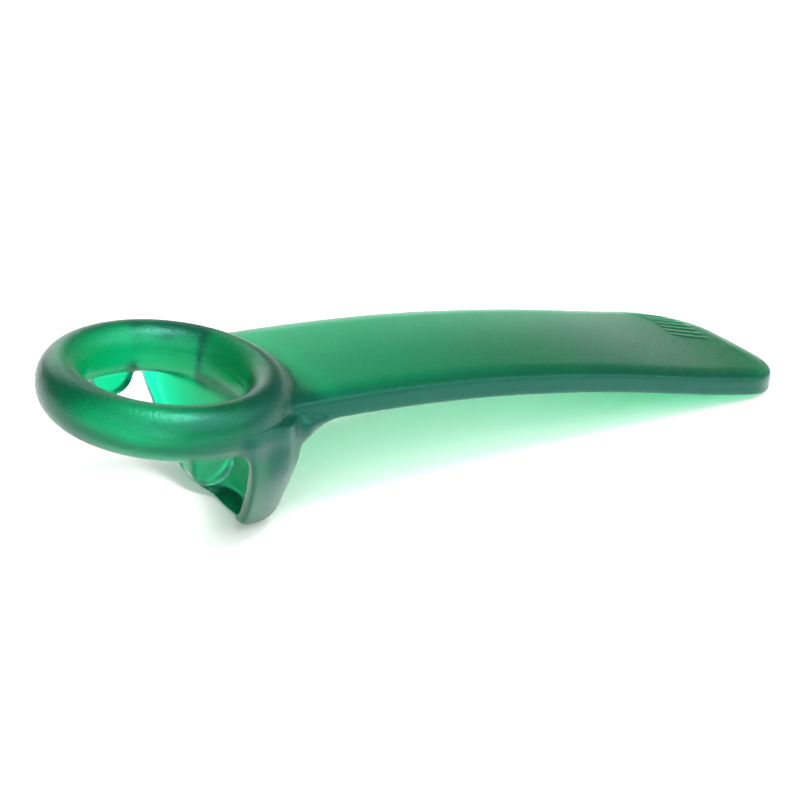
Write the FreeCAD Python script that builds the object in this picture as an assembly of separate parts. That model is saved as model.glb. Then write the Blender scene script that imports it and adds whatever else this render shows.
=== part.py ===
import FreeCAD
import Part
import math
import os
from FreeCAD import Vector as V

# One-piece lever for breaking the vacuum of a jar lid.
# Frame: +Z up, +X from the ring towards the handle's tip, Y = 0 is the plane of symmetry.
# The lever stands on the sole of its claw and on the tip of its handle, both at Z = 0.
# All lengths are millimetres.

# ---------------- driving dimensions ----------------
K = 1.0152                 # overall size factor, sets the length over all to 160
RING_R_OUT = 22.57 * K     # outer radius of the ring
RING_RH = 4.12 * K         # half thickness of the ring's section, along the radius
RING_RV = 4.94 * K         # half thickness of the ring's section, up and down
RING_Z = 28.72 * K         # height of the ring's centre
RING_TILT = 7.70           # degrees, the ring's front is higher than its rear
RING_R = RING_R_OUT - RING_RH

HANDLE_X0 = 18.0 * K       # root station of the handle
HANDLE_X1 = 135.19 * K     # tip station of the handle
HANDLE_TOP = [27.56, 25.40, 22.36, 18.29, 13.35, 7.84, 3.587]   # heights of the top at equal stations
HANDLE_W0 = 16.21 * K      # half width at the root
HANDLE_W1 = 19.46 * K      # half width at the tip
HANDLE_WAIST = 0.85 * K    # how much the sides pull in half way
HANDLE_T0 = 3.96 * K       # thickness at the root
HANDLE_T1 = 3.54 * K       # thickness at the tip
TIP_CORNER = 9.0 * K       # radius of the tip's corners in plan
EDGE_R = 0.9 * K           # rounding of the handle's edges

CLAW_FLOOR = 2.4 * K       # thickness of the claw's floor at its rear
LIP_EDGE = 0.75 * K        # thickness of the lip at its front edge
CLAW_SLAB = 16.0 * K       # half width of the part of the claw that reaches under the handle's root
CLAW_P = 2.6               # roundness of the claw's horizontal sections
CLAW_LIMIT = 22.3 * K      # the claw stays inside this radius around the ring's centre
FOOT_BULGE = 2.2           # how far the foot's front corners lie behind its front middle, at the sole
LIP_TOP = 3.4 * K          # height that divides the lip from the walls
CHEEK_Y = 9.5 * K          # distance from the middle that divides cheeks from rear wall

GUSSET_R = 6.0 * K         # radius of the hollow curve from the claw's rear up to the handle's underside
GUSSET_Y = 13.0 * K        # half width of that gusset

PAD_X = -1.64 * K          # centre of the fulcrum pads
PAD_Y = 18.73 * K
PAD_LOW = 19.63 * K        # lowest line of the pads
PAD_R = 4.1 * K            # radius of the pads' rounded foot
PAD_W = 4.0 * K            # width of a pad across the ring's tube

RIB_N = 7
RIB_LEN = 7.8 * K
RIB_W = 0.75 * K
RIB_H = 0.25 * K           # height above the handle's top
RIB_START = [(120.8, 14.8), (121.5, 12.9), (122.2, 11.1), (122.5, 9.0), (122.2, 6.8), (121.8, 4.5), (121.5, 2.3)]
RIB_ANGLE = -19.5          # degrees in plan

# the frame's origin is under the middle of the length over all
RING_FRONT = (RING_R * math.cos(math.radians(RING_TILT))
              + math.hypot(RING_RH * math.cos(math.radians(RING_TILT)), RING_RV * math.sin(math.radians(RING_TILT))))
X_SHIFT = -(HANDLE_X1 - RING_FRONT) / 2.0

OUT = "parts"


# ---------------- small helpers ----------------
def spline_z(pts_x, pts_z):
    c = Part.BSplineCurve()
    c.interpolate([V(x, 0, z) for x, z in zip(pts_x, pts_z)])
    return c


def poly_face(points, closed_by_line=True):
    w = Part.makePolygon(points + [points[0]])
    return Part.Face(w)


def solid_of(shape):
    s = shape.Solids
    s.sort(key=lambda q: -q.Volume)
    return s


def pchip(xs, ys, x):
    # monotone cubic through the knots
    n = len(xs)
    h = [xs[i + 1] - xs[i] for i in range(n - 1)]
    dl = [(ys[i + 1] - ys[i]) / h[i] for i in range(n - 1)]
    m = [dl[0]] + [0.0] * (n - 2) + [dl[-1]]
    for i in range(1, n - 1):
        if dl[i - 1] * dl[i] > 0:
            w1 = 2 * h[i] + h[i - 1]
            w2 = h[i] + 2 * h[i - 1]
            m[i] = (w1 + w2) / (w1 / dl[i - 1] + w2 / dl[i])
    if x <= xs[0]:
        return ys[0]
    if x >= xs[-1]:
        return ys[-1]
    i = max(j for j in range(n - 1) if xs[j] <= x)
    t = (x - xs[i]) / h[i]
    h00 = 2 * t ** 3 - 3 * t ** 2 + 1
    h10 = t ** 3 - 2 * t ** 2 + t
    h01 = -2 * t ** 3 + 3 * t ** 2
    h11 = t ** 3 - t ** 2
    return h00 * ys[i] + h10 * h[i] * m[i] + h01 * ys[i + 1] + h11 * h[i] * m[i + 1]


# ---------------- ring ----------------
def tilt(shape):
    s = shape.copy()
    s.rotate(V(0, 0, 0), V(0, 1, 0), RING_TILT)
    s.translate(V(0, 0, RING_Z))
    return s


sec = Part.Ellipse(V(RING_R, 0, RING_RV), V(RING_R + RING_RH, 0, 0), V(RING_R, 0, 0))
ring_face = Part.Face(Part.Wire([sec.toShape()]))
ring = tilt(ring_face.revolve(V(0, 0, 0), V(0, 0, 1), 360))
ring = Part.makeSolid(ring) if ring.ShapeType != "Solid" else ring

# upright core of the ring's hole, up to the tube's centre line
core = tilt(Part.makeCylinder(RING_R, 60 * K, V(0, 0, -30 * K), V(0, 0, 1)))
# everything above the ring's middle plane, used to trim what hangs under it
above = tilt(Part.makeBox(60 * K, 60 * K, 30 * K, V(-30 * K, -30 * K, 0)))
hole = tilt(Part.makeCylinder(RING_R_OUT - 2 * RING_RH + 0.35 * K, 14 * K, V(0, 0, -5.2 * K), V(0, 0, 1)))

# ---------------- handle ----------------
nst = len(HANDLE_TOP)
xs = [HANDLE_X0 + (HANDLE_X1 - HANDLE_X0) * i / (nst - 1) for i in range(nst)]
zs = [z * K for z in HANDLE_TOP]
top_curve = spline_z(xs, zs)


def top_z(x):
    p = top_curve.parameter(V(x, 0, 20))
    a, b = top_curve.FirstParameter, top_curve.LastParameter
    if x <= xs[0]:
        t = top_curve.tangent(a)[0]
        return zs[0] + (x - xs[0]) * t.z / t.x
    lo, hi = a, b
    for _ in range(50):
        mid = 0.5 * (lo + hi)
        if top_curve.value(mid).x < x:
            lo = mid
        else:
            hi = mid
    return top_curve.value(0.5 * (lo + hi)).z


def half_w(x):
    q = min(max((x - HANDLE_X0) / (HANDLE_X1 - HANDLE_X0), 0), 1)
    return HANDLE_W0 + (HANDLE_W1 - HANDLE_W0) * q - HANDLE_WAIST * 4 * q * (1 - q)


def thick(x):
    q = min(max((x - HANDLE_X0) / (HANDLE_X1 - HANDLE_X0), 0), 1)
    return HANDLE_T0 + (HANDLE_T1 - HANDLE_T0) * q


xr = [8.0 * K, 13.0 * K] + [HANDLE_X0 + (HANDLE_X1 - HANDLE_X0) * i / 12.0 for i in range(13)]
up = [V(x, 0, top_z(x)) for x in xr]
# the underside keeps the thickness square to the top
dn = []
for x in xr:
    g = (top_z(x + 0.5) - top_z(x - 0.5)) / 1.0 if x < HANDLE_X1 - 1 else (top_z(x) - top_z(x - 1.0))
    dn.append(V(x, 0, top_z(x) - thick(x) * math.sqrt(1 + g * g)))
cu = Part.BSplineCurve()
cu.interpolate(up)
cd = Part.BSplineCurve()
cd.interpolate(dn)
prof = Part.Wire([cu.toShape(), Part.makeLine(up[-1], dn[-1]), cd.toShape(), Part.makeLine(dn[0], up[0])])
slab = Part.Face(prof).extrude(V(0, 60 * K, 0))
slab.translate(V(0, -30 * K, 0))

xo = [8.0 * K, 13.0 * K] + [HANDLE_X0 + (HANDLE_X1 - TIP_CORNER - HANDLE_X0) * i / 8.0 for i in range(9)]
near_pts = [V(x, -half_w(x), 0) for x in xo]
far_pts = [V(x, half_w(x), 0) for x in xo]
cn = Part.BSplineCurve()
cn.interpolate(near_pts)
cf = Part.BSplineCurve()
cf.interpolate(list(reversed(far_pts)))
xe = HANDLE_X1
ye = half_w(xe - TIP_CORNER)
r = TIP_CORNER
s45 = r * (1 - math.sqrt(0.5))
a1 = Part.Arc(V(xe - r, -ye, 0), V(xe - s45, -ye + s45, 0), V(xe - 0.35 * K, -ye + r, 0)).toShape()
a2 = Part.Arc(V(xe - 0.35 * K, ye - r, 0), V(xe - s45, ye - s45, 0), V(xe - r, ye, 0)).toShape()
ae = Part.Arc(V(xe - 0.35 * K, -ye + r, 0), V(xe, 0, 0), V(xe - 0.35 * K, ye - r, 0)).toShape()
plan = Part.Wire([cn.toShape(), a1, ae, a2, cf.toShape(), Part.makeLine(far_pts[0], near_pts[0])])
column = Part.Face(plan).extrude(V(0, 0, 60 * K))
column.translate(V(0, 0, -5 * K))
plate = slab.common(column)
plate = solid_of(plate)[0]
for rad in (EDGE_R, EDGE_R * 0.7, EDGE_R * 0.5):
    try:
        edges = []
        for e in plate.Edges:
            bb = e.BoundBox
            if bb.XMin > 7.0 * K and bb.XLength > 1.0 and bb.ZLength > 0.2:
                edges.append(e)
            elif bb.YLength > 15 * K and bb.XMin > xe - 3 * K:
                edges.append(e)
        rounded = plate.makeFillet(rad, edges)
        if rounded.isValid() and rounded.Volume > 0.9 * plate.Volume:
            plate = solid_of(rounded)[0]
            break
    except Exception:
        pass
handle = plate.cut(core).cut(ring)
handle = solid_of(handle)[0]

# ---------------- claw ----------------
# horizontal sections: half width at the front edge, front edge, rear extent
ZB = [0, 0.8, 1.8, 3, 5, 9, 13, 17.5, 21, 27]


def fit_b(z):
    q = z / 20.0
    return 8.36 + 18.57 * q - 6.01 * q * q


BB = [6.9, 8.3, 9.6, fit_b(3), fit_b(5), fit_b(9), fit_b(13), fit_b(17.5), fit_b(21), 21.9]
ZR = [0, 1, 2.5, 5, 9, 13, 17.5, 27]
RR = [18.6, 19.8, 20.4, 20.6, 20.2, 20.0, 20.2, 20.6]
# the scoop's inside: half width and rear extent
ZBI = [0.3, 1.0, 2.4, 4.0, 5.9, 8.9, 12.5, 16.8, 21, 26]
BBI = [3.2, 4.8, 6.9, 9.0, 10.9, 12.9, 15.1, 17.4, 19.3, 21.0]
ZI = [2.4, 3.4, 5, 9, 13, 17.5, 27]
RI = [15.6, 15.9, 16.1, 16.2, 16.2, 16.3, 16.5]


def front_x(z):
    q = z / 20.0
    f = 9.45 - 3.24 * q - 0.2 * q * q
    if z < 4.0:
        f += 3.3 * (1 - z / 4.0) ** 2
    return f


def bulge(z):
    return FOOT_BULGE * (1 - z / 5.0) ** 2 if z < 5.0 else 0.0


def section(z, xf, xr_, b, x_front, corner_x=None, n=18):
    # closed half-superellipse with a front curve whose middle is at x_front
    pts = []
    for i in range(2 * n + 1):
        t = -math.pi / 2 + math.pi * i / (2 * n)
        c, s = math.cos(t), math.sin(t)
        cx = (abs(c) ** (2.0 / CLAW_P))
        sy = math.copysign(abs(s) ** (2.0 / CLAW_P), s)
        pts.append(V((xf + (xr_ - xf) * cx) * K, b * sy * K, z * K))
    corner_x = x_front if corner_x is None else corner_x
    pts[0] = V(corner_x * K, -b * K, z * K)
    pts[-1] = V(corner_x * K, b * K, z * K)
    c = Part.BSplineCurve()
    c.interpolate(pts)
    f = Part.BSplineCurve()
    f.interpolate([pts[-1], V(x_front * K, 0, z * K), pts[0]])
    return Part.Wire([c.toShape(), f.toShape()])


zo = [0, 0.5, 1.2, 2.2, 3.6, 5.5, 8, 11, 14, 17.5, 21, 24.5]
outer = Part.makeLoft([section(z, front_x(z) + bulge(z), pchip(ZR, RR, z), pchip(ZB, BB, z), front_x(z), front_x(z) + bulge(z))
                       for z in zo], True, False)
limit = Part.makeCylinder(CLAW_LIMIT, 40 * K, V(0, 0, -1), V(0, 0, 1)).fuse(
    Part.makeBox(20 * K, 2 * CLAW_SLAB, 40 * K, V(12 * K, -CLAW_SLAB, -1)))
outer = outer.common(limit)
outer = solid_of(outer)[0]


zi = [2.4, 2.9, 3.6, 4.6, 6, 8, 11, 14, 17.5, 21, 26]
inner_secs = []
for z in zi:
    xf = front_x(z)
    inner_secs.append(section(z, xf, pchip(ZI, RI, z), pchip(ZBI, BBI, z), xf - 3.0))
inner = Part.makeLoft(inner_secs, True, False)
# the lip's top slopes down to a thin front edge
le = LIP_EDGE
wedge = Part.Face(Part.makePolygon([V(8 * K, 0, le), V(12.7 * K, 0, le), V(15.4 * K, 0, CLAW_FLOOR - 0.02), V(15.4 * K, 0, 3 * K),
                                    V(8 * K, 0, 3 * K), V(8 * K, 0, le)])).extrude(V(0, 8.8 * K, 0))
wedge.translate(V(0, -4.4 * K, 0))
claw = outer.cut(inner).cut(wedge)
claw = claw.cut(above).cut(hole).cut(ring)
claw = claw.cut(handle).cut(core.common(tilt(Part.makeBox(60 * K, 60 * K, 20 * K, V(-30 * K, -30 * K, -3.0 * K)))))
claw = solid_of(claw)[0]

big = 80 * K
low_box = Part.makeBox(big, big, LIP_TOP + 5, V(-big / 2, -big / 2, -5))
hook_lip = claw.common(low_box)
upper = claw.cut(low_box)
left_box = Part.makeBox(big, big, big, V(-big / 2, CHEEK_Y, -5))
right_box = Part.makeBox(big, big, big, V(-big / 2, -CHEEK_Y - big, -5))
cheek_left = upper.common(left_box)
cheek_right = upper.common(right_box)
back_wall = upper.cut(left_box).cut(right_box)

# ---------------- gusset between the claw's rear and the handle ----------------
gx0 = 20.3 * K
gz1 = top_z(gx0 + GUSSET_R) - HANDLE_T0
arc_c = V(gx0 + GUSSET_R, 0, gz1 - GUSSET_R)
a_mid = V(arc_c.x - GUSSET_R * math.cos(math.radians(45)), 0, arc_c.z + GUSSET_R * math.sin(math.radians(45)))
g_top = V(arc_c.x, 0, arc_c.z + GUSSET_R)
g_low = V(arc_c.x - GUSSET_R, 0, arc_c.z)
gw = Part.Wire([Part.Arc(g_top, a_mid, g_low).toShape(),
                Part.makeLine(g_low, V(14.0 * K, 0, arc_c.z)),
                Part.makeLine(V(14.0 * K, 0, arc_c.z), V(14.0 * K, 0, gz1 + 3.0 * K)),
                Part.makeLine(V(14.0 * K, 0, gz1 + 3.0 * K), V(g_top.x, 0, gz1 + 3.0 * K)),
                Part.makeLine(V(g_top.x, 0, gz1 + 3.0 * K), g_top)])
gusset = Part.Face(gw).extrude(V(0, 2 * GUSSET_Y, 0))
gusset.translate(V(0, -GUSSET_Y, 0))
gusset = gusset.cut(outer).cut(handle).cut(ring).cut(above)
gusset = sorted([q for q in gusset.Solids if q.BoundBox.ZMax < 26 * K], key=lambda q: -q.Volume)[0]

# ---------------- fulcrum pads ----------------
def pad(sign):
    y0 = sign * PAD_Y - PAD_W / 2
    foot = Part.makeCylinder(PAD_R, PAD_W, V(PAD_X, y0, PAD_LOW + PAD_R), V(0, 1, 0))
    stem = Part.makeBox(2 * PAD_R, PAD_W, 5 * K, V(PAD_X - PAD_R, y0, PAD_LOW + PAD_R))
    p = foot.fuse(stem).removeSplitter()
    p = p.cut(above).cut(ring)
    s = solid_of(p)
    low = [q for q in s if q.BoundBox.ZMin < PAD_LOW + 0.5]
    return low[0]


pad_left = pad(1)
pad_right = pad(-1)
cheek_left = cheek_left.cut(pad_left)
cheek_right = cheek_right.cut(pad_right)

# ---------------- grip ribs ----------------
ribs = []
ang = math.radians(RIB_ANGLE)
for (x0, y0) in RIB_START:
    n = 6
    ptsu, ptsd = [], []
    for i in range(n + 1):
        d = RIB_LEN * i / n
        x = x0 * K + d * math.cos(ang)
        y = y0 * K + d * math.sin(ang)
        rise = RIB_H * math.sin(math.pi * min(1.0, max(0.0, (i + 0.25) / (n + 0.5)))) ** 0.5
        ptsu.append(V(x, y, top_z(x) + rise))
        ptsd.append(V(x, y, top_z(x) - 0.6))
    outline = Part.Face(Part.makePolygon(ptsu + list(reversed(ptsd)) + [ptsu[0]]))
    nrm = V(-math.sin(ang), math.cos(ang), 0)
    rb = outline.extrude(nrm * RIB_W)
    rb.translate(nrm * (-RIB_W / 2))
    rb = rb.cut(handle)
    q = [k for k in solid_of(rb) if k.BoundBox.ZMax > top_z(x0 * K + 0.5 * RIB_LEN) - 0.2]
    ribs.append(q[0])
grip_ribs = Part.makeCompound(ribs)

nodes = {
    "grip_ring": ring,
    "lever_handle": handle,
    "claw_back_wall": back_wall,
    "claw_cheek_left": cheek_left,
    "claw_cheek_right": cheek_right,
    "hook_lip": hook_lip,
    "root_gusset": gusset,
    "fulcrum_pad_left": pad_left,
    "fulcrum_pad_right": pad_right,
    "grip_ribs": grip_ribs,
}

os.makedirs(OUT, exist_ok=True)
lo = V(1e9, 1e9, 1e9)
hi = V(-1e9, -1e9, -1e9)
for name, shape in nodes.items():
    s = shape.copy()
    s.translate(V(X_SHIFT, 0, 0))
    sol = s.Solids
    if name != "grip_ribs":
        sol.sort(key=lambda q: -q.Volume)
        extra = [round(q.Volume, 3) for q in sol[1:]]
        s = sol[0]
    else:
        extra = []
    s.exportStep(os.path.join(OUT, name + ".step"))
    b = s.optimalBoundingBox(False, False) if hasattr(s, "optimalBoundingBox") else s.BoundBox
    lo = V(min(lo.x, b.XMin), min(lo.y, b.YMin), min(lo.z, b.ZMin))
    hi = V(max(hi.x, b.XMax), max(hi.y, b.YMax), max(hi.z, b.ZMax))
    print(name, "solids", len(sol), "extra", extra, "vol", round(s.Volume, 1), "valid", s.isValid(),
          "box", [round(v, 2) for v in (b.XMin, b.XMax, b.YMin, b.YMax, b.ZMin, b.ZMax)])
print("overall", [round(v, 3) for v in (lo.x, hi.x, lo.y, hi.y, lo.z, hi.z)], "shift", round(X_SHIFT, 4))
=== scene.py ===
import math
import bpy
import bmesh
import numpy as np
from mathutils import Matrix, Vector


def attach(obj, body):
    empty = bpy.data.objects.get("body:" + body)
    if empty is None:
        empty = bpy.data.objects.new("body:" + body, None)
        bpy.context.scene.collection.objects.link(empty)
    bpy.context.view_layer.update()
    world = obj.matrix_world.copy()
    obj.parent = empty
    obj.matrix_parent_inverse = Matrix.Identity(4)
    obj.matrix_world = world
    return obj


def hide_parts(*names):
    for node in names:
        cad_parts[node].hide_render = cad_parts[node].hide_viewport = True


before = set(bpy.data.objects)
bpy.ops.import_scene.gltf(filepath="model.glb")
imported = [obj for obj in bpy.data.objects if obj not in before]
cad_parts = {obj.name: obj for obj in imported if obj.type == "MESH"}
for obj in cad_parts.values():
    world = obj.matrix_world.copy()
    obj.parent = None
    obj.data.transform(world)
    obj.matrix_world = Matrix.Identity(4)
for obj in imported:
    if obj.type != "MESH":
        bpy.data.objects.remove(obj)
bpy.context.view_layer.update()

# ---------------------------------------------------------------------------
# The lever is one moulding, so its skin is one continuous surface. It is built
# as an implicit solid in the CAD's own numbers (mm, before the overall factor),
# with soft blends where the regions run into each other.
# ---------------------------------------------------------------------------
K = 1.0152
BETA = math.radians(-7.70)
CB, SB = math.cos(BETA), math.sin(BETA)
R_OUT, RH, RV, ZR = 22.57, 4.12, 4.94, 28.72
RC = R_OUT - RH
X0, X1 = 18.0, 135.19
HTOP = [27.56, 25.40, 22.36, 18.29, 13.35, 7.84, 3.587]
W0, W1, WAIST = 16.21, 19.46, 0.85
T0, T1 = 3.96, 3.54
PX = -(X1 - (RC * CB + math.hypot(RH * CB, RV * SB))) / 2.0   # frame shift, unscaled
P_OUT, P_LOW, P_IN = 3.1, 3.8, 2.0   # how square the claw's outside, its foot and its cavity are in plan
TIP_R_NEAR, TIP_R_FAR = 10.8, 15.5   # radii of the tip's corners in plan
CROWN = 0.85      # how far the handle's top stands above its edges
DOME = 0.55       # broad arch across the whole width


class Spline:
    """natural-ish cubic through knots with not-a-knot ends, held at the end values outside the knots"""

    def __init__(self, xs, ys):
        xs = np.asarray(xs, float); ys = np.asarray(ys, float)
        n = len(xs); h = np.diff(xs)
        A = np.zeros((n, n)); r = np.zeros(n)
        for i in range(1, n - 1):
            A[i, i - 1] = h[i - 1]; A[i, i] = 2 * (h[i - 1] + h[i]); A[i, i + 1] = h[i]
            r[i] = 6 * ((ys[i + 1] - ys[i]) / h[i] - (ys[i] - ys[i - 1]) / h[i - 1])
        A[0, 0], A[0, 1], A[0, 2] = h[1], -(h[0] + h[1]), h[0]
        A[-1, -3], A[-1, -2], A[-1, -1] = h[-1], -(h[-2] + h[-1]), h[-2]
        self.m = np.linalg.solve(A, r); self.x = xs; self.y = ys; self.h = h

    def __call__(self, x):
        xs, ys, m, h = self.x, self.y, self.m, self.h
        xc = np.clip(x, xs[0], xs[-1])
        i = np.clip(np.searchsorted(xs, xc) - 1, 0, len(xs) - 2)
        a = xs[i + 1] - xc; b = xc - xs[i]; hh = h[i]
        v = (m[i] * a ** 3 + m[i + 1] * b ** 3) / (6 * hh) + (ys[i] / hh - m[i] * hh / 6) * a + (ys[i + 1] / hh - m[i + 1] * hh / 6) * b
        return v

    def slope(self, x, e=0.05):
        return (self(x + e) - self(x - e)) / (2 * e)


class Table:
    """smooth one-variable table: monotone cubic sampled finely, with its slope"""

    def __init__(self, xs, ys, lo, hi, n=600):
        xs = np.asarray(xs, float); ys = np.asarray(ys, float)
        h = np.diff(xs); dl = np.diff(ys) / h
        m = np.zeros(len(xs)); m[0] = dl[0]; m[-1] = dl[-1]
        for i in range(1, len(xs) - 1):
            if dl[i - 1] * dl[i] > 0:
                w1 = 2 * h[i] + h[i - 1]; w2 = h[i] + 2 * h[i - 1]
                m[i] = (w1 + w2) / (w1 / dl[i - 1] + w2 / dl[i])
        g = np.linspace(lo, hi, n)
        i = np.clip(np.searchsorted(xs, g) - 1, 0, len(xs) - 2)
        t = (g - xs[i]) / h[i]
        inside = ((2 * t ** 3 - 3 * t ** 2 + 1) * ys[i] + (t ** 3 - 2 * t ** 2 + t) * h[i] * m[i]
                  + (-2 * t ** 3 + 3 * t ** 2) * ys[i + 1] + (t ** 3 - t ** 2) * h[i] * m[i + 1])
        left = ys[0] + m[0] * (g - xs[0]); right = ys[-1] + m[-1] * (g - xs[-1])
        self.g = g
        self.v = np.where(g < xs[0], left, np.where(g > xs[-1], right, inside))
        self.d = np.gradient(self.v, g)

    def __call__(self, x):
        return np.interp(x, self.g, self.v)

    def slope(self, x):
        return np.interp(x, self.g, self.d)


ztop = Spline(np.linspace(X0, X1, 7), HTOP)
_s0 = float(ztop.slope(X0 + 0.1)); _s1 = float(ztop.slope(X1 - 0.1))


def top_z(x):
    return ztop(x) + np.minimum(x - X0, 0) * _s0 + np.maximum(x - X1, 0) * _s1


def bfit(z):
    q = z / 20.0
    return 8.36 + 18.57 * q - 6.01 * q * q


def front_x(z):
    q = z / 20.0
    return 9.45 - 3.24 * q - 0.2 * q * q + 3.3 * np.clip(1 - z / 4.0, 0, 1.2) ** 2


ZB = [0, 0.8, 1.8, 3, 5, 9, 13, 17.5, 21, 27]
BB = [6.9, 8.3, 9.6] + [bfit(z) for z in ZB[3:9]] + [21.9]
b_out = Table(ZB, BB, -1.0, 30)
r_out = Table([0, 1, 2.5, 5, 9, 13, 17.5, 27], [17.0, 18.1, 18.6, 18.8, 18.5, 19.2, 21.5, 23.4], -1.0, 30)
x_front = Table(list(np.linspace(0, 4, 9)) + [6, 9, 13, 17, 21, 27], [float(front_x(z)) for z in list(np.linspace(0, 4, 9)) + [6, 9, 13, 17, 21, 27]], -1.0, 30)
_zi = [0.3, 1.0, 2.4, 4.0, 5.9, 8.9, 12.5, 16.8, 21, 26]
_bi = [3.2, 4.8, 6.9, 9.0, 10.9, 12.9, 15.1, 17.4, 19.3, 21.0]
b_in = Table(_zi, _bi, -1.0, 30)
r_in = Table([0.3, 2.4, 3.4, 5, 9, 13, 17.5, 27], [14.6, 15.0, 14.9, 14.6, 14.3, 14.1, 14.0, 14.0], -1.0, 30)


def smin(a, b, k):
    h = np.maximum(k - np.abs(a - b), 0.0) / k
    return np.minimum(a, b) - h * h * k * 0.25


def smax(a, b, k):
    return -smin(-a, -b, k)


def rmax(a, b, r):
    """intersection with a round edge of radius r"""
    u = a + r; v = b + r
    return np.hypot(np.maximum(u, 0), np.maximum(v, 0)) + np.minimum(np.maximum(u, v), 0) - r


def rmin(a, b, r):
    """union with a round fillet of radius r"""
    return np.maximum(r, np.minimum(a, b)) - np.hypot(np.maximum(r - a, 0), np.maximum(r - b, 0))


def sstep(a, b, x):
    t = np.clip((x - a) / (b - a), 0, 1)
    return t * t * (3 - 2 * t)


def d_ring(x, y, z):
    u = x * CB + (z - ZR) * SB
    w = -x * SB + (z - ZR) * CB
    rr = np.hypot(u, y) - RC
    kk = np.sqrt((rr / RH) ** 2 + (w / RV) ** 2)
    g = np.sqrt((rr / RH ** 2) ** 2 + (w / RV ** 2) ** 2) + 1e-6
    return kk * (kk - 1) / g, u, w


def handle_plan(x, y):
    q = np.clip((x - X0) / (X1 - X0), 0, 1)
    w = W0 + (W1 - W0) * q - WAIST * 4 * q * (1 - q)
    return rmax(np.abs(y) - w, x - (X1 + 0.10 - 0.07 * y + 0.035 * (np.sqrt(y * y + 25.0) - 5.0) - 0.35 * (y / 12.5) ** 2), np.where(y > 0, TIP_R_FAR, TIP_R_NEAR))


def half_width(x):
    q = np.clip((x - X0) / (X1 - X0), 0, 1)
    return W0 + (W1 - W0) * q - WAIST * 4 * q * (1 - q)


def crown(plan, x, y):
    edge = CROWN * (1 - np.clip((4.6 + plan) / 4.6, 0, 1) ** 2.2)
    return edge + DOME * (1 - np.minimum(np.abs(y) / half_width(x), 1) ** 2) - 0.08


def d_handle(x, y, z, u, edge=0.5):
    q = np.clip((x - X0) / (X1 - X0), 0, 1)
    t = T0 + (T1 - T0) * q
    zt = top_z(x)
    sl = ztop.slope(np.clip(x, X0 + 0.1, X1 - 0.1))
    c = 1 / np.sqrt(1 + sl * sl)
    plan = handle_plan(x, y)
    faces = np.maximum((z - zt - crown(plan, x, y)) * c, -((z - zt) * c + t))
    root = (RC - 0.6) - np.hypot(u, y)
    plan = np.maximum(plan, np.maximum(root, 9.0 - x))
    return rmax(plan, faces, edge)


def d_super(x, y, z, tb, tr, txf, p):
    xf = txf(z); a = tr(z) - xf; b = tb(z)
    da = tr.slope(z) - txf.slope(z); db = tb.slope(z); dxf = txf.slope(z)
    X = np.maximum(x - xf, 0) / a; Y = np.abs(y) / b
    g = (X ** p + Y ** p + 1e-9) ** (1 / p)
    f = g ** (1 - p)
    gx = f * X ** (p - 1) / a
    gy = f * Y ** (p - 1) / b
    gz = f * (X ** (p - 1) * (-(dxf + X * da) / a) + Y ** (p - 1) * (-Y * db / b))
    return (g - 1) / np.sqrt(gx ** 2 + gy ** 2 + gz ** 2 + 1e-5)


def d_claw(x, y, z, w):
    side = d_super(x, y, z, b_out, r_out, x_front, P_LOW + (P_OUT - P_LOW) * sstep(10.0, 19.0, z))
    side = smax(side, np.hypot(x, y) - 22.3 - 2.0 * sstep(8.0, 15.0, x) * sstep(8.0, 18.0, z), 1.2)
    xf = x_front(z); sf = x_front.slope(z)
    low = np.clip(1 - z / 5.0, 0, 1) ** 2
    bul = 2.2 * low * np.minimum(np.abs(y) / b_out(z), 1.2) ** 2
    front = (xf + bul - x) / np.sqrt(1 + sf ** 2)
    outer = rmax(rmax(side, front, 0.6 + 0.9 * low), -z, 0.3)
    cav = d_super(x, y, z, b_in, r_in, x_front, P_IN)
    floor_z = np.clip(0.75 + 0.6 * (x - 12.7), 0.75, 2.4)
    cav = rmax(cav, (floor_z - z) * 0.86, 0.8)
    shell = rmax(outer, -cav, 0.35)
    return np.maximum(shell, w + 0.3)


PADX, PADY, PADLOW, PADR, PADW = -1.64, 18.73, 19.63, 4.1, 4.0


def d_pad(x, y, z, w):
    ay = np.abs(np.abs(y) - PADY) - PADW / 2
    zz = z - (PADLOW + PADR)
    r = np.hypot(x - PADX, np.minimum(zz, 0)) - PADR
    d = rmax(r, ay, 0.55)
    return np.maximum(d, w + 0.3)


def field(x, y, z):
    ring, u, w = d_ring(x, y, z)
    han = d_handle(x, y, z, u)
    claw = d_claw(x, y, z, w)
    pads = d_pad(x, y, z, w)
    # big round fillet only under the handle's root; close to the top and the sides it is tight
    under = top_z(x) - T0
    k1 = 0.6 + 6.2 * sstep(16.0, 20.0, x) * sstep(4.0, 10.0, z) * (1 - sstep(under + 0.3, under + 2.8, z)) * (1 - sstep(2.5, 6.0, np.abs(y) - half_width(x)))
    body = rmin(claw, han, k1)
    body = smin(body, ring, 1.2 + 2.2 * (1 - sstep(-2.5, 0.5, w)))
    body = smin(body, pads, 0.6)
    return rmax(body, -z, 0.35)


# seven small raised ribs near the tip, slanted across the top
RIBS = [(120.8, 14.8), (121.5, 12.9), (122.2, 11.1), (122.5, 9.0), (122.2, 6.8), (121.8, 4.5), (121.5, 2.3)]
RIB_ANG = math.radians(-19.5)


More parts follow.
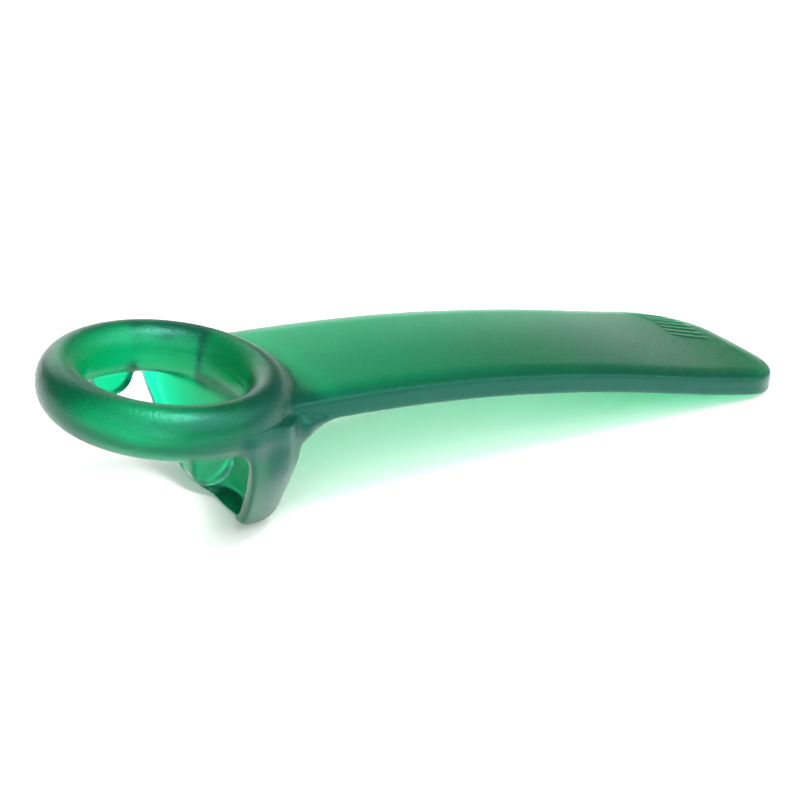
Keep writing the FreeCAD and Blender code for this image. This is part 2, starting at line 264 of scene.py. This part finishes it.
def rib_height(x, y):
    """a low shingle: steep on the near side, easing off on the far side"""
    h = np.zeros_like(x)
    ca, sa = math.cos(RIB_ANG), math.sin(RIB_ANG)
    for (rx, ry) in RIBS:
        a = (x - rx) * ca + (y - ry) * sa
        c = -(x - rx) * sa + (y - ry) * ca
        end = np.clip(np.minimum(a + 0.4, 8.2 - a) / 0.9, 0, 1)
        near = np.clip((c + 0.40) / 0.28, 0, 1)
        far = np.clip(1 - (c + 0.10) / 1.25, 0, 1)
        h = np.maximum(h, 0.12 * near * near * (3 - 2 * near) * far * np.sqrt(end * (2 - end)))
    return h


def grad(f, P, e=0.04):
    g = np.empty_like(P)
    for i in range(3):
        D = np.zeros(3); D[i] = e
        g[:, i] = (f(*(P + D).T) - f(*(P - D).T)) / (2 * e)
    return g


def project(f, P, n=3):
    for _ in range(n):
        v = f(*P.T)
        g = grad(f, P)
        step = (v / np.maximum((g ** 2).sum(1), 0.05))[:, None] * g
        L = np.linalg.norm(step, axis=1, keepdims=True)
        P = P - step * np.minimum(1, 0.3 / np.maximum(L, 1e-9))
    return P


def axis_steps(lo, hi, h, fine):
    """grid stations from lo to hi, closer together inside the fine range"""
    v = [lo]
    while v[-1] < hi:
        v.append(v[-1] + (fine[2] if fine[0] <= v[-1] < fine[1] else h))
    return np.array(v)


def surface_nets(f, ax):
    F = np.empty([len(a) for a in ax], np.float32)
    Y, Z = np.meshgrid(ax[1], ax[2], indexing="ij")
    for s in range(0, len(ax[0]), 24):
        xs = ax[0][s:s + 24]
        F[s:s + 24] = f(np.broadcast_to(xs[:, None, None], (len(xs),) + Y.shape).copy(), np.broadcast_to(Y, (len(xs),) + Y.shape).copy(), np.broadcast_to(Z, (len(xs),) + Z.shape).copy())
    S = F < 0
    nx, ny, nz = F.shape
    cs = np.zeros((nx - 1, ny - 1, nz - 1), np.int8)
    for a in (0, 1):
        for b in (0, 1):
            for c in (0, 1):
                cs += S[a:nx - 1 + a, b:ny - 1 + b, c:nz - 1 + c]
    act = (cs > 0) & (cs < 8)
    idx = -np.ones(act.shape, np.int64)
    I = np.argwhere(act)
    idx[act] = np.arange(len(I))
    acc = np.zeros((len(I), 3)); cnt = np.zeros(len(I))
    corners = [(a, b, c) for a in (0, 1) for b in (0, 1) for c in (0, 1)]
    for i, ca in enumerate(corners):
        for cb in corners[i + 1:]:
            if sum(abs(p - q) for p, q in zip(ca, cb)) != 1:
                continue
            fa = F[I[:, 0] + ca[0], I[:, 1] + ca[1], I[:, 2] + ca[2]].astype(float)
            fb = F[I[:, 0] + cb[0], I[:, 1] + cb[1], I[:, 2] + cb[2]].astype(float)
            m = (fa < 0) != (fb < 0)
            t = np.where(m, fa / np.where(m, fa - fb, 1), 0)
            A = np.array(ca, float); B = np.array(cb, float)
            acc[m] += (A + t[m, None] * (B - A)); cnt[m] += 1
    fr = acc / cnt[:, None]
    V = np.stack([ax[k][I[:, k]] + fr[:, k] * (ax[k][I[:, k] + 1] - ax[k][I[:, k]]) for k in range(3)], 1)
    quads = []
    for axis in range(3):
        sl0 = [slice(None)] * 3; sl1 = [slice(None)] * 3
        sl0[axis] = slice(0, -1); sl1[axis] = slice(1, None)
        A = S[tuple(sl0)]; B = S[tuple(sl1)]
        E = np.argwhere(A != B)
        o = [k for k in range(3) if k != axis]
        ok = (E[:, o[0]] > 0) & (E[:, o[1]] > 0) & (E[:, o[0]] < F.shape[o[0]] - 1) & (E[:, o[1]] < F.shape[o[1]] - 1)
        E = E[ok]
        inside = A[E[:, 0], E[:, 1], E[:, 2]]
        def cell(da, db):
            c = E.copy(); c[:, o[0]] -= da; c[:, o[1]] -= db
            return idx[c[:, 0], c[:, 1], c[:, 2]]
        q = np.stack([cell(1, 1), cell(0, 1), cell(0, 0), cell(1, 0)], 1)
        flip = inside if axis != 1 else ~inside
        q[~flip] = q[~flip][:, ::-1]
        quads.append(q)
    return V, np.concatenate(quads)


def relax(f, V, Q, n=4, w=0.5):
    e = np.concatenate([Q[:, [0, 1]], Q[:, [1, 2]], Q[:, [2, 3]], Q[:, [3, 0]]])
    for _ in range(n):
        s = np.zeros_like(V); c = np.zeros(len(V))
        np.add.at(s, e[:, 0], V[e[:, 1]]); np.add.at(c, e[:, 0], 1)
        np.add.at(s, e[:, 1], V[e[:, 0]]); np.add.at(c, e[:, 1], 1)
        V = V + w * (s / c[:, None] - V)
        V = project(f, V, 1)
    return V


CELL = 0.5
AXES = [axis_steps(-23.9, 137.1, CELL, (4.0, 24.0, CELL * 0.7)),
        axis_steps(-23.95, 23.9, CELL, (0, 0, 1)),
        axis_steps(-1.1, 37.9, CELL, (-1.1, 4.5, CELL * 0.55))]
V, Q = surface_nets(field, AXES)
V = project(field, V, 2)
V = relax(field, V, Q)
V = project(field, V, 2)
V[:, 2] = np.maximum(V[:, 2], 0.0)


def to_world(P):
    return (P + np.array([PX, 0, 0])) * K / 1000.0


mesh = bpy.data.meshes.new("lifter_skin")
mesh.from_pydata(V.tolist(), [], Q.tolist())
mesh.update()
bm = bmesh.new()
bm.from_mesh(mesh)
# finer faces only where the ribs stand
region = []
for fc in bm.faces:
    c = fc.calc_center_median()
    if 119.0 < c.x < 131.5 and -2.2 < c.y < 16.6 and c.z > float(top_z(np.array(c.x))) - 0.2:
        region.append(fc)
edges = {e for fc in region for e in fc.edges}
bmesh.ops.subdivide_edges(bm, edges=list(edges), cuts=2, use_grid_fill=True)
bmesh.ops.recalc_face_normals(bm, faces=bm.faces[:])
bm.to_mesh(mesh)
bm.free()
co = np.empty(len(mesh.vertices) * 3)
mesh.vertices.foreach_get("co", co)
co = co.reshape(-1, 3)
top = (co[:, 0] > 118.5) & (co[:, 0] < 132) & (co[:, 1] > -3) & (co[:, 1] < 17.3) & (co[:, 2] > top_z(co[:, 0]) - 0.7)
P = project(field, co[top], 2)
P[:, 2] += rib_height(P[:, 0], P[:, 1])
co[top] = P
mesh.vertices.foreach_set("co", to_world(co).ravel())

# where the mould is textured: the upper half, down to the parting line, fades out on the sides
g = grad(field, co)
nrm = g / np.maximum(np.linalg.norm(g, axis=1, keepdims=True), 1e-9)
_, uu, ww = d_ring(co[:, 0], co[:, 1], co[:, 2])
on_ring = sstep(24.5, 21.5, np.hypot(uu, co[:, 1])) * (np.abs(ww) < 5.4) * (nrm[:, 2] > -0.98)
tex_ring = sstep(0.2, 1.0, ww)
tex_top = sstep(0.45, 0.75, nrm[:, 2])
grain_v = np.where(on_ring > 0.5, tex_ring, tex_top)
at = mesh.attributes.new("grain", "FLOAT", "POINT")
at.data.foreach_set("value", grain_v.astype(np.float32))
seam_v = np.where((np.hypot(uu, co[:, 1]) < 23.5) & (np.abs(ww) < 2.5), ww, 9.0)
at = mesh.attributes.new("seam", "FLOAT", "POINT")
at.data.foreach_set("value", seam_v.astype(np.float32))
mesh.polygons.foreach_set("use_smooth", [True] * len(mesh.polygons))
mesh.update()
skin = bpy.data.objects.new("lifter_skin", mesh)
bpy.context.scene.collection.objects.link(skin)
print("skin", len(mesh.vertices), "verts", sum(len(p.vertices) - 2 for p in mesh.polygons), "tris")

# ---------------------------------------------------------------------------
# material: frosted, translucent green plastic
# ---------------------------------------------------------------------------
mat = bpy.data.materials.new("frosted_green_plastic")
mat.use_nodes = True
nt = mat.node_tree
nt.nodes.clear()
N = nt.nodes.new
L = nt.links.new
out = N("ShaderNodeOutputMaterial")
bsdf = N("ShaderNodeBsdfPrincipled")
bsdf.inputs["Transmission Weight"].default_value = 0.965
bsdf.inputs["IOR"].default_value = 1.47
bsdf.inputs["Specular Tint"].default_value = (0.26, 1.0, 0.85, 1)
vol = N("ShaderNodeVolumeAbsorption")
vol.inputs["Color"].default_value = (0.0, 0.50, 0.20, 1)
vol.inputs["Density"].default_value = 300.0
tc = N("ShaderNodeTexCoord")
ga = N("ShaderNodeAttribute"); ga.attribute_name = "grain"
sa_ = N("ShaderNodeAttribute"); sa_.attribute_name = "seam"
grain = N("ShaderNodeTexNoise"); grain.inputs["Scale"].default_value = 1900; grain.inputs["Detail"].default_value = 2.0; grain.inputs["Roughness"].default_value = 0.6
soft = N("ShaderNodeTexNoise"); soft.inputs["Scale"].default_value = 90; soft.inputs["Detail"].default_value = 3.0
L(tc.outputs["Object"], grain.inputs["Vector"]); L(tc.outputs["Object"], soft.inputs["Vector"])


def math_node(op, a, b=None, clamp=False):
    n = N("ShaderNodeMath"); n.operation = op; n.use_clamp = clamp
    for i, v in enumerate((a, b)):
        if v is None:
            continue
        if isinstance(v, (int, float)):
            n.inputs[i].default_value = v
        else:
            L(v, n.inputs[i])
    return n.outputs[0]


# roughness: satin, uneven in patches, a little duller with the texture above the parting line
mr = N("ShaderNodeMapRange"); mr.inputs["From Min"].default_value = 0.3; mr.inputs["From Max"].default_value = 0.7
mr.inputs["To Min"].default_value = 0.278; mr.inputs["To Max"].default_value = 0.30
L(soft.outputs["Fac"], mr.inputs["Value"])
rough = math_node("ADD", mr.outputs["Result"], math_node("MULTIPLY", ga.outputs["Fac"], 0.012))
L(rough, bsdf.inputs["Roughness"])
# the pigment is a little uneven from grain to grain where the texture is
tint = N("ShaderNodeMix"); tint.data_type = "RGBA"
tint.inputs[6].default_value = (0.008, 0.92, 0.57, 1)
tint.inputs[7].default_value = (0.008, 0.74, 0.43, 1)
spot = N("ShaderNodeMapRange"); spot.inputs["From Min"].default_value = 0.42; spot.inputs["From Max"].default_value = 0.66
L(grain.outputs["Fac"], spot.inputs["Value"])
L(math_node("MULTIPLY", spot.outputs["Result"], ga.outputs["Fac"]), tint.inputs[0])
L(tint.outputs[2], bsdf.inputs["Base Color"])
# relief: the mould's grain and a fine parting line round the ring
gh = math_node("MULTIPLY", grain.outputs["Fac"], math_node("ADD", math_node("MULTIPLY", ga.outputs["Fac"], 0.92), 0.08))
line = math_node("SUBTRACT", 1.0, math_node("DIVIDE", math_node("ABSOLUTE", sa_.outputs["Fac"]), 0.22), clamp=True)
height = math_node("ADD", gh, math_node("MULTIPLY", line, 0.35))
bump = N("ShaderNodeBump"); bump.inputs["Strength"].default_value = 1.0; bump.inputs["Distance"].default_value = 0.00009
L(height, bump.inputs["Height"])
L(bump.outputs["Normal"], bsdf.inputs["Normal"])
L(bsdf.outputs["BSDF"], out.inputs["Surface"])
L(vol.outputs["Volume"], out.inputs["Volume"])
mesh.materials.append(mat)

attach(skin, "root")
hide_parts(*[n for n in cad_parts])

# ---------------------------------------------------------------------------
# floor, lights, camera
# ---------------------------------------------------------------------------
fm = bpy.data.meshes.new("floor")
S = 3.0
fm.from_pydata([(-S, -S, 0), (S, -S, 0), (S, S, 0), (-S, S, 0)], [], [(0, 1, 2, 3)])
floor = bpy.data.objects.new("floor", fm)
bpy.context.scene.collection.objects.link(floor)
fmat = bpy.data.materials.new("floor_white"); fmat.use_nodes = True
fb = fmat.node_tree.nodes["Principled BSDF"]
fb.inputs["Base Color"].default_value = (0.93, 0.93, 0.93, 1)
fb.inputs["Roughness"].default_value = 0.8
fb.inputs["Specular IOR Level"].default_value = 0.2
fm.materials.append(fmat)

# plain pale round backdrop, seen directly but left out of the lighting
bdm = bpy.data.meshes.new("backdrop")
seg = 96
ring_pts = [(2.95 * math.cos(2 * math.pi * i / seg), 2.95 * math.sin(2 * math.pi * i / seg)) for i in range(seg)]
bdm.from_pydata([(a, b, -0.02) for a, b in ring_pts] + [(a, b, 3.0) for a, b in ring_pts], [],
                [(i, i + seg, (i + 1) % seg + seg, (i + 1) % seg) for i in range(seg)])
backdrop = bpy.data.objects.new("backdrop", bdm)
bpy.context.scene.collection.objects.link(backdrop)
bmat = bpy.data.materials.new("backdrop_white"); bmat.use_nodes = True
bb_ = bmat.node_tree.nodes["Principled BSDF"]
bb_.inputs["Base Color"].default_value = (0.9, 0.9, 0.9, 1)
bb_.inputs["Emission Color"].default_value = (1, 1, 1, 1)
bb_.inputs["Emission Strength"].default_value = 0.9
bdm.materials.append(bmat)
backdrop.visible_diffuse = False
backdrop.visible_glossy = False
backdrop.visible_transmission = False
backdrop.visible_volume_scatter = False
backdrop.visible_shadow = False

world = bpy.data.worlds.new("studio")
bpy.context.scene.world = world
world.use_nodes = True
wt = world.node_tree
wb = wt.nodes["Background"]
wtc = wt.nodes.new("ShaderNodeTexCoord")
sep = wt.nodes.new("ShaderNodeSeparateXYZ")
wt.links.new(wtc.outputs["Generated"], sep.inputs[0])


def wmath(op, a, b=None, c=None, clamp=False):
    n = wt.nodes.new("ShaderNodeMath"); n.operation = op; n.use_clamp = clamp
    for i, v in enumerate((a, b, c)):
        if v is None:
            continue
        if isinstance(v, (int, float)):
            n.inputs[i].default_value = v
        else:
            wt.links.new(v, n.inputs[i])
    return n.outputs[0]


def wramp(v, a, b, hi=1.0, lo=0.0):
    """smooth fall from hi at a to lo at b"""
    n = wt.nodes.new("ShaderNodeMapRange"); n.interpolation_type = "SMOOTHSTEP"
    n.inputs["From Min"].default_value = a; n.inputs["From Max"].default_value = b
    n.inputs["To Min"].default_value = hi; n.inputs["To Max"].default_value = lo
    wt.links.new(v, n.inputs["Value"])
    return n.outputs["Result"]


# a dim studio: a broad soft glow behind the camera, a lit patch behind the ring, a thin pale horizon
glow = wmath("MULTIPLY", wramp(sep.outputs["Y"], 0.10, -0.55, 0.0, 1.0),
             wmath("MULTIPLY", wramp(sep.outputs["Z"], 0.16, 0.36, 0.0, 1.0), wramp(sep.outputs["Z"], 0.75, 0.92, 1.0, 0.0)))
toward = wmath("ADD", wmath("ADD", wmath("MULTIPLY", sep.outputs["X"], 0.161), wmath("MULTIPLY", sep.outputs["Y"], 0.913)),
               wmath("MULTIPLY", sep.outputs["Z"], 0.375))
patch = wramp(toward, 0.90, 0.985, 0.0, 1.0)
across = wmath("ADD", wmath("MULTIPLY", sep.outputs["X"], -0.69), wmath("MULTIPLY", sep.outputs["Y"], 0.72))
horizon = wmath("MULTIPLY", wramp(sep.outputs["Z"], 0.02, 0.14, 1.0, 0.0),
                wmath("MULTIPLY", wramp(across, 0.02, 0.18, 0.0, 1.0), wramp(across, 0.45, 0.80, 1.0, 0.0)))
level = wmath("ADD", wmath("ADD", wramp(sep.outputs["Y"], 0.35, -0.15, 0.15, 0.36), wmath("MULTIPLY", glow, 2.8)),
              wmath("ADD", wmath("MULTIPLY", patch, 2.0), wmath("MULTIPLY", horizon, 1.5)))
wb.inputs["Color"].default_value = (1, 1, 1, 1)
wt.links.new(level, wb.inputs["Strength"])


def area(name, loc, target, size, power, size_y=None):
    l = bpy.data.lights.new(name, "AREA")
    l.energy = power; l.shape = "RECTANGLE"; l.size = size; l.size_y = size_y or size
    o = bpy.data.objects.new(name, l)
    o.location = loc
    d = Vector(target) - Vector(loc)
    o.rotation_euler = d.to_track_quat("-Z", "Y").to_euler()
    bpy.context.scene.collection.objects.link(o)
    return o


area("overhead", (0.12, -0.30, 1.12), (0, 0, 0), 0.64, 14.0, 0.60)
area("overhead_core", (0.11, -0.36, 1.09), (0, 0, 0), 0.26, 3.2, 0.24)
area("front_low", (-0.60, -0.98, 0.14), (-0.04, 0, 0.03), 0.20, 2.4, 0.14)

# camera from the fitted view
phi, el, roll = math.radians(34.65), math.radians(28.28), math.radians(1.97)
D, FPX = 387.16, 2015.61
T = np.array([50.36, 0.0, 12.40])
d = np.array([math.sin(phi) * math.cos(el), math.cos(phi) * math.cos(el), -math.sin(el)])
r = np.array([math.cos(phi), -math.sin(phi), 0.0])
u = np.cross(r, d)
r2 = r * math.cos(roll) + u * math.sin(roll)
u2 = -r * math.sin(roll) + u * math.cos(roll)
C = to_world(T - D * d)
cam = bpy.data.cameras.new("camera")
cam.sensor_width = 36.0
cam.lens = FPX / 800.0 * 36.0
cam.clip_start = 0.01
cam.clip_end = 20
cobj = bpy.data.objects.new("camera", cam)
cobj.matrix_world = Matrix(((r2[0], u2[0], -d[0], C[0]), (r2[1], u2[1], -d[1], C[1]), (r2[2], u2[2], -d[2], C[2]), (0, 0, 0, 1)))
bpy.context.scene.collection.objects.link(cobj)
bpy.context.scene.camera = cobj
sc = bpy.context.scene
sc.view_settings.view_transform = "Standard"
sc.cycles.max_bounces = 24
sc.cycles.transmission_bounces = 16
sc.cycles.volume_bounces = 2
